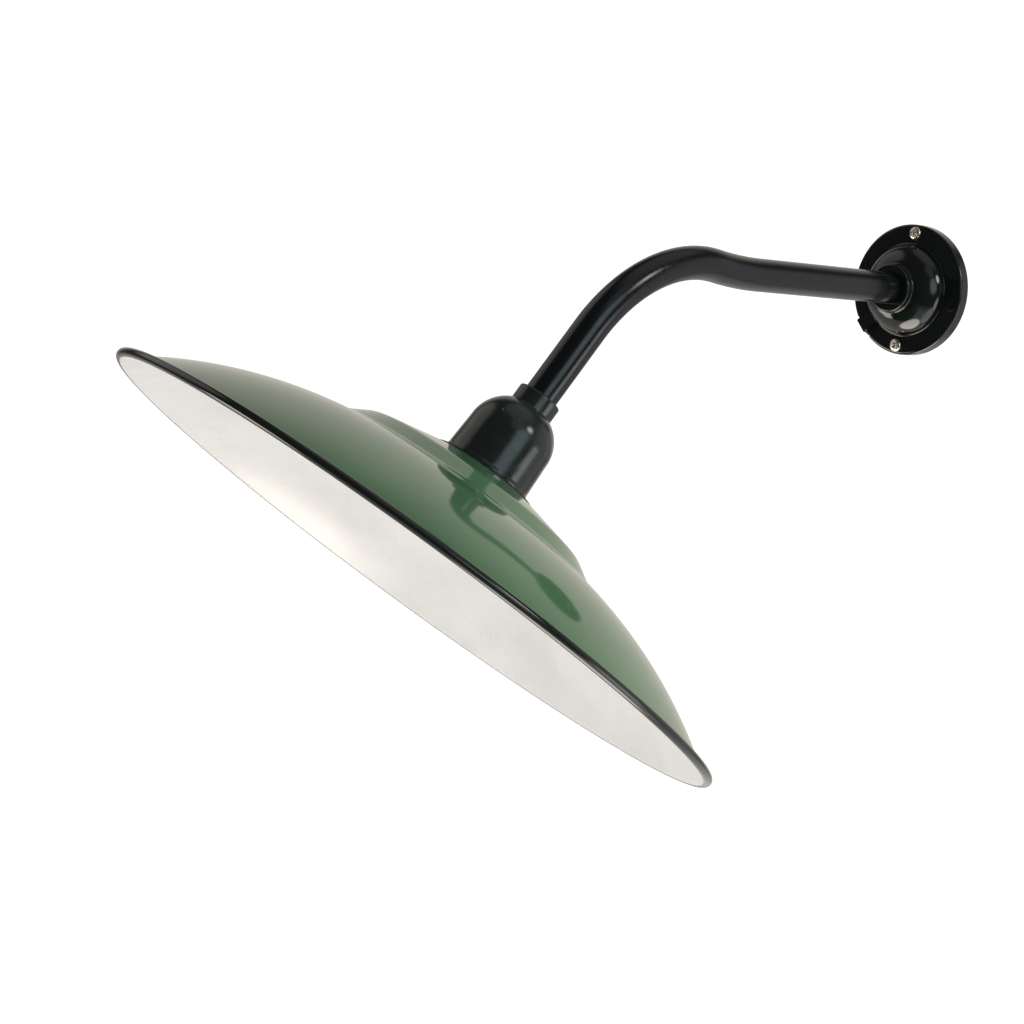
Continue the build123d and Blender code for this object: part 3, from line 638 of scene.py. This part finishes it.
class RollThreads(bpy.types.Operator):
    """Rolls the matching round threads into the lamp's cap and the shell that it screws into"""
    bl_idname = "sconce.roll_threads"
    bl_label = "Roll the threads"

    def execute(self, context):
        size = context.scene.sconce_lamp
        colours = context.scene.sconce_finishes

        outline = cup_outline(size.cap / 2, size.cap_foot, size.cap_top, cap_bend, cap_wall_steps)
        thread = (*cap_thread_start, *(size.cap_top - drop for drop in cap_thread_end))
        cap = roll_cup("rolled_cap", outline, thread, size, size.cap_sheet)
        # Nickel plate is bright and a little yellow, and dulls in patches
        nickel = worked_metal("nickel_plate_on_drawn_brass", colours.nickel, srgb("#C4BBA4"),
                              roughness=0.2, grain=0.4, depth=0.003)
        finish(cap, head_place, "bulb_cap", [nickel])

        outline = cup_outline(size.shell / 2, size.shell_foot, size.shell_top, shell_bend, shell_wall_steps)
        floor_edge = (size.shell_floor, size.shell_top)
        shell = roll_cup("rolled_shell", [floor_edge, *outline], shell_thread, size, size.shell_sheet)
        # Drawn brass is warm yellow, browner where it has been handled
        brass = worked_metal("drawn_brass", colours.brass, srgb("#BD9C58"),
                             roughness=0.24, grain=0.4, depth=0.004)
        finish(shell, head_place, "screw_shell", [brass])
        return {"FINISHED"}


# The filament

filament_spacing = 2.3  # from turn to turn, in thicknesses of its wire
filament_sides = 6
filament_steps = 14


class WindFilament(bpy.types.Operator):
    """Winds the filament's fine coil between its two wires"""
    bl_idname = "sconce.wind_filament"
    bl_label = "Wind the filament"

    def execute(self, context):
        size = context.scene.sconce_lamp
        pitch = size.filament_wire * filament_spacing
        turns = int(2 * size.filament_reach / pitch)
        start = (size.filament_coil, 0, -pitch * turns / 2)
        piece = start_ring("coiled_filament", filament_sides, size.filament_wire / 2, start, "NGON")
        apply_modifier(piece, "SCREW", axis="Z", angle=math.tau, screw_offset=pitch, iterations=turns,
                       steps=filament_steps, render_steps=filament_steps)
        bpy.ops.object.mode_set(mode="EDIT")
        close_seams(fine_wire_seam_gap)
        across = Matrix.Translation((0, 0, size.filament_height)) @ Matrix.Rotation(math.pi / 2, 4, "Y")
        # Tungsten is dark grey with the dull lines of its drawing
        wire = worked_metal("drawn_tungsten", srgb("#7A7874"), srgb("#63605C"),
                            roughness=0.35, grain=0.1, depth=0.001)
        finish(piece, head_place @ across, "filament", [wire])
        return {"FINISHED"}


# CAD pieces that keep their shape and get their finish

def dress(material, *names):
    """Gives CAD nodes one finish."""
    for name in names:
        mesh = frame["nodes"][name].data
        mesh.materials.clear()
        mesh.materials.append(material)


class PaintCastings(bpy.types.Operator):
    """Paints the wall flange and the bell cover, and blackens the gasket under the cover"""
    bl_idname = "sconce.paint_castings"
    bl_label = "Paint the castings"

    def execute(self, context):
        colours = context.scene.sconce_finishes
        flange = gloss_paint_on_casting("black_gloss_paint_on_casting", colours.flange,
                                        roughness=0.07, lump=0.05, chips=0.80)
        cover = gloss_paint_on_casting("green_black_gloss_paint_on_casting", colours.cover,
                                       roughness=0.17, lump=0.08, chips=0.755)
        # Rubber is matt and nearly black, with the fine skin of its mould
        rubber = moulded_or_glazed("moulded_black_rubber", srgb("#141414"),
                                   roughness=0.5, ior=1.5, grain=0.6, depth=0.02)
        dress(flange, "wall_flange")
        dress(cover, "holder_cover")
        dress(rubber, "seat_gasket")
        return {"FINISHED"}


class PlateFasteners(bpy.types.Operator):
    """Plates the screws, the nut, the plate and the clamp ring, and blackens the grub screw and rim wire"""
    bl_idname = "sconce.plate_fasteners"
    bl_label = "Plate the fasteners"

    def execute(self, context):
        # Nickel is bright and a little yellow, zinc is a flatter grey, and blackened steel has a dull sheen
        nickel = worked_metal("nickel_plate_on_steel", context.scene.sconce_finishes.nickel, srgb("#D6CDB8"),
                              roughness=0.26, grain=0.5, depth=0.006)
        zinc = worked_metal("zinc_plate_on_steel", srgb("#B9BBBC"), srgb("#A4A7A6"),
                            roughness=0.36, grain=0.5, depth=0.01)
        blackened = worked_metal("blackened_steel", srgb("#3A3A3C"), srgb("#2E2D2D"),
                                 roughness=0.42, grain=0.4, depth=0.008)
        dress(nickel, "flange_screws", "clamp_screws")
        dress(zinc, "mounting_plate", "pipe_lock_nut", "clamp_ring", "block_screws", "block_fixing_screw")
        dress(blackened, "collar_grub_screw", "rim_wire")
        return {"FINISHED"}


class FitElectrics(bpy.types.Operator):
    """Finishes the porcelain lampholder, its brass and springs, the connector, the bushes and the leads"""
    bl_idname = "sconce.fit_electrics"
    bl_label = "Fit the electrics"

    def execute(self, context):
        # Porcelain's glaze is glassy over a warm white body
        porcelain = moulded_or_glazed("glazed_porcelain", srgb("#F1EEE6"),
                                      roughness=0.1, ior=1.52, grain=3.0, depth=0.008)
        # Machined brass is yellow with fine turning marks, and phosphor bronze is redder
        brass = worked_metal("machined_brass", context.scene.sconce_finishes.brass, srgb("#B08F4D"),
                             roughness=0.25, grain=0.35, depth=0.004)
        bronze = worked_metal("phosphor_bronze_wire", srgb("#C99566"), srgb("#AD7B4E"),
                              roughness=0.28, grain=0.3, depth=0.004)
        # Nylon and the leads' insulation have the soft sheen of moulded plastic
        nylon = moulded_or_glazed("moulded_white_nylon", srgb("#E8E5DC"),
                                  roughness=0.36, ior=1.53, grain=0.6, depth=0.006)
        black_lead = moulded_or_glazed("black_wire_insulation", srgb("#161616"),
                                       roughness=0.4, ior=1.53, grain=0.8, depth=0.005)
        white_lead = moulded_or_glazed("white_wire_insulation", srgb("#E4E2DC"),
                                       roughness=0.4, ior=1.53, grain=0.8, depth=0.005)
        dress(porcelain, "lampholder_body")
        dress(brass, "block_tubes", "contact_plunger", "centre_terminal", "shell_terminal",
              "terminal_screws")
        dress(bronze, "contact_spring")
        dress(nylon, "pipe_bush_wall", "pipe_bush_head", "terminal_block")
        dress(black_lead, "lead_live")
        dress(white_lead, "lead_neutral")
        return {"FINISHED"}


class BlowLamp(bpy.types.Operator):
    """Finishes the lamp's globe, stem, wires, insulator and solder contact"""
    bl_idname = "sconce.blow_lamp"
    bl_label = "Blow the lamp"

    def execute(self, context):
        # The insulator is near-black glass, the solder is soft grey, and the wires are browned by heat
        insulator = moulded_or_glazed("black_glass_insulator", srgb("#120E18"),
                                      roughness=0.07, ior=1.52, grain=2.0, depth=0.01)
        solder = worked_metal("tinned_solder", srgb("#B7B6B2"), srgb("#9F9D98"),
                              roughness=0.34, grain=0.8, depth=0.02)
        wires = worked_metal("nickel_iron_wire", srgb("#8C8A86"), srgb("#6C6965"),
                             roughness=0.35, grain=0.3, depth=0.002)
        dress(blown_glass("blown_clear_glass"), "bulb_glass", "bulb_stem")
        dress(insulator, "bulb_insulator")
        dress(solder, "bulb_tip")
        dress(wires, "bulb_leads")
        return {"FINISHED"}


# The stage

# The camera, fitted to the photograph: its place, its directions and its focal length in pixels
camera_place = Vector((0.8831, -1.2693, 0.2197))
camera_forward = Vector((-0.64788475, 0.71312048, -0.26777702)).normalized()
camera_up = Vector((-0.37636876, 0.00594385, 0.92645088))
focal_pixels = 2497.5
frame_pixels = 1024
sensor_mm = 36

# The lamps point at the sconce's middle. Each has its place and the length of its side.
sconce_middle = Vector((0.0, -0.25, -0.1))
soft_lamps = {
    "key": ((1.35, 0.55, 0.3), 1.2),
    "low": ((0.07, -0.65, -0.75), 1.0),
}

# The surroundings' light is a trace warm: this is its share of blue
fill_blue = 0.985

# The unshaded floor's own glow and its lit grey together reach white
floor_side = 60.0
floor_grey = (0.8, 0.8, 0.8)
floor_glow = 0.8

# The dome is what polished surfaces mirror of the studio. This is its level between its patches.
dome_radius = 3.5
dome_dark = 0.06

# A patch has its compass angle from +X, its height above level, the angles from its middle where it ends
# and where it is even, all in degrees, its level and its tint
warm, plain, cool = (1.0, 0.93, 0.84), (1.0, 0.98, 0.95), (0.75, 0.93, 1.0)
studio_patches = {
    "backdrop": (124, 3, 50, 20, 0.72, warm),
    "side wall": (56, 4, 44, 20, 0.54, plain),
    "table": (0, -90, 76, 52, 0.8, plain),
    "table lamp": (-30, -75, 25, 18, 7.6, warm),
    "table edge": (12, -38, 25, 14, 2.0, plain),
    "side strip": (22, -9, 17, 9, 3.0, plain),
    "high lamp": (16, 42, 9, 5, 8.0, plain),
    "overhead": (100, 78, 36, 18, 0.42, plain),
    "upper window": (-30, 60, 22, 8, 0.42, cool),
    "right window": (-14, 28, 22, 7, 1.8, cool),
    "low reflector": (-129, -30, 16, 10, 6.5, warm),
    "far window": (-163, 20, 32, 18, 0.7, plain),
}


def add_camera():
    """Camera at the photograph's place, with its lens and its slight roll."""
    bpy.ops.object.camera_add(location=camera_place)
    camera = bpy.context.object
    right = camera_forward.cross(camera_up).normalized()
    up = right.cross(camera_forward).normalized()
    turn = Matrix((right, up, -camera_forward)).transposed()
    camera.matrix_world = Matrix.Translation(camera_place) @ turn.to_4x4()
    camera.data.sensor_fit = "HORIZONTAL"
    camera.data.sensor_width = sensor_mm
    camera.data.lens = focal_pixels / frame_pixels * sensor_mm
    bpy.context.scene.camera = camera


def seen_rays(tree, *kinds):
    """One for a ray of any of these kinds, or else zero."""
    path = node(tree, "ShaderNodeLightPath")
    seen = path.outputs[kinds[0]]
    for kind in kinds[1:]:
        seen = node(tree, "ShaderNodeMath", {0: seen, 1: path.outputs[kind]}, operation="MAXIMUM").outputs[0]
    return seen


def add_world(level):
    """White surroundings for the camera and for glass, and a plain level of light from all round.

    Mirror reflections show the dome instead, so the surroundings are hidden from glossy rays.
    """
    world = bpy.data.worlds.new("studio")
    bpy.context.scene.world = world
    world.use_nodes = True
    world.cycles_visibility.glossy = False
    tree = world.node_tree
    tree.nodes.clear()
    seen = seen_rays(tree, "Is Camera Ray", "Is Glossy Ray", "Is Transmission Ray")
    colour = layered(tree, (level, level, level * fill_blue), (seen, white))
    back = node(tree, "ShaderNodeBackground", {"Color": colour, "Strength": 1.0})
    node(tree, "ShaderNodeOutputWorld", {"Surface": back.outputs[0]})


def aimed(turn, height):
    """Direction from the sconce, by its compass angle from +X and its angle above level, in degrees."""
    turn, height = math.radians(turn), math.radians(height)
    return Vector((math.cos(height) * math.cos(turn), math.cos(height) * math.sin(turn), math.sin(height)))


def soft_patch(tree, direction, turn, height, edge, inner, level, glow):
    """Soft round patch of light on the dome, fading from an inner to an edge angle in degrees."""
    facing = node(tree, "ShaderNodeVectorMath", {0: direction, 1: aimed(turn, height)},
                  operation="DOT_PRODUCT").outputs["Value"]
    spread = {"Value": facing, "From Min": math.cos(math.radians(edge)),
              "From Max": math.cos(math.radians(inner)), "To Max": level}
    fade = node(tree, "ShaderNodeMapRange", spread, interpolation_type="SMOOTHSTEP").outputs["Result"]
    return node(tree, "ShaderNodeVectorMath", {0: glow, "Scale": fade}, operation="SCALE").outputs[0]


def add_dome(centre):
    """Dome that only mirror reflections see: dark, with soft patches for the studio's lamps and walls."""
    bpy.ops.object.select_all(action="DESELECT")
    bpy.ops.mesh.primitive_uv_sphere_add(segments=48, ring_count=24, radius=dome_radius, location=centre)
    dome = bpy.context.object
    dome.name = "studio_dome"
    bpy.ops.object.transform_apply()
    for ray in ("camera", "diffuse", "transmission", "volume_scatter", "shadow"):
        setattr(dome, "visible_" + ray, False)
    material, tree = new_material("studio_walls")
    place = node(tree, "ShaderNodeTexCoord").outputs["Object"]
    direction = node(tree, "ShaderNodeVectorMath", {0: place, 1: centre}, operation="SUBTRACT").outputs[0]
    direction = node(tree, "ShaderNodeVectorMath", {0: direction}, operation="NORMALIZE").outputs[0]
    total = (dome_dark, dome_dark, dome_dark)
    for patch in studio_patches.values():
        light = soft_patch(tree, direction, *patch)
        total = node(tree, "ShaderNodeVectorMath", {0: total, 1: light}, operation="MAXIMUM").outputs[0]
    glow = node(tree, "ShaderNodeEmission", {"Color": total, "Strength": 1.0})
    node(tree, "ShaderNodeOutputMaterial", {"Surface": glow.outputs[0]})
    dome.data.materials.append(material)


def add_floor(drop):
    """Plain pale floor that keeps the object's shadow, white to the camera where it is unshaded."""
    bpy.ops.object.select_all(action="DESELECT")
    bpy.ops.mesh.primitive_plane_add(size=floor_side, location=(0, 0, -drop))
    floor = bpy.context.object
    floor.name = "floor"
    bpy.ops.object.transform_apply()
    floor.visible_glossy = False
    material, tree = new_material("matt_white_floor")
    seen = seen_rays(tree, "Is Camera Ray", "Is Transmission Ray")
    glow = node(tree, "ShaderNodeMath", {0: seen, 1: floor_glow}, operation="MULTIPLY")
    surfaced(material, {
        "Base Color": floor_grey,
        "Roughness": 0.9,
        "Emission Color": white,
        "Emission Strength": glow.outputs[0],
    })
    floor.data.materials.append(material)


def add_soft_lamp(name, place, target, side, power):
    """Square soft lamp aimed at a point. Polished surfaces mirror the dome's patches in its place."""
    bpy.ops.object.light_add(type="AREA", location=place)
    lamp = bpy.context.object
    lamp.name = name
    lamp.data.size = side
    lamp.data.energy = power
    lamp.rotation_euler = (target - Vector(place)).to_track_quat("-Z", "Y").to_euler()
    lamp.visible_glossy = False


class SetStage(bpy.types.Operator):
    """Sets up the camera, the pale floor, the studio and its soft lamps"""
    bl_idname = "sconce.set_stage"
    bl_label = "Set the stage"

    def execute(self, context):
        stage = context.scene.sconce_stage
        context.scene.view_settings.view_transform = "Standard"
        add_camera()
        add_world(stage.fill)
        add_floor(stage.floor_drop)
        add_dome(sconce_middle)
        for name, (place, side) in soft_lamps.items():
            add_soft_lamp(name, place, sconce_middle, side, getattr(stage, name))
        return {"FINISHED"}


# The add-on

class SconcePanel(bpy.types.Panel):
    """Sizes, colours and steps of the sconce"""
    bl_idname = "VIEW3D_PT_sconce"
    bl_label = "Gooseneck wall sconce"
    bl_space_type = "VIEW_3D"
    bl_region_type = "UI"
    bl_category = "Sconce"

    def draw(self, context):
        for name in setting_groups:
            group = getattr(context.scene, name)
            box = self.layout.box()
            for field in group.__annotations__:
                box.prop(group, field)
        for operator in operators:
            self.layout.operator(operator.bl_idname)


setting_groups = {
    "sconce_finishes": SconceFinishes,
    "sconce_arm": SconceArm,
    "sconce_shade": SconceShade,
    "sconce_lamp": SconceLamp,
    "sconce_stage": SconceStage,
}
operators = (BendArm, SpinShade, RollThreads, WindFilament, PaintCastings, PlateFasteners, FitElectrics,
             BlowLamp, SetStage)


def register():
    for name, group in setting_groups.items():
        bpy.utils.register_class(group)
        setattr(bpy.types.Scene, name, PointerProperty(type=group))
    for made in (*operators, SconcePanel):
        bpy.utils.register_class(made)


def unregister():
    for made in (SconcePanel, *reversed(operators)):
        bpy.utils.unregister_class(made)
    for name, group in setting_groups.items():
        delattr(bpy.types.Scene, name)
        bpy.utils.unregister_class(group)


def main():
    register()
    for operator in operators:
        family, step = operator.bl_idname.split(".")
        getattr(getattr(bpy.ops, family), step)()


if __name__ == "__main__":
    main()
